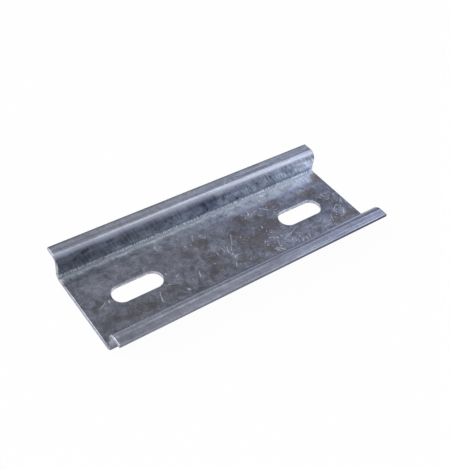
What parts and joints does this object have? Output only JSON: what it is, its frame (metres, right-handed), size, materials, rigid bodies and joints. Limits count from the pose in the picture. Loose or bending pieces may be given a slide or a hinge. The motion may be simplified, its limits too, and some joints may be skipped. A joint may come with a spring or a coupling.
{
  "type": "top-hat mounting rail",
  "caption": "Short piece of folded steel top-hat rail with outward lips for clip-on devices and obround screw slots in its flat base.",
  "frame": {"origin": "middle of the rail's flat back face", "axes": "+X along the rail, +Y across it towards one lip, +Z out of the back face towards the lips"},
  "size_m": [0.084, 0.035, 0.0075],
  "materials": {
    "galvanised_steel": "zinc coated, satin, mottled and scuffed"
  },
  "bodies": {
    "root": {"rail": "galvanised_steel"}
  },
  "joints": []
}
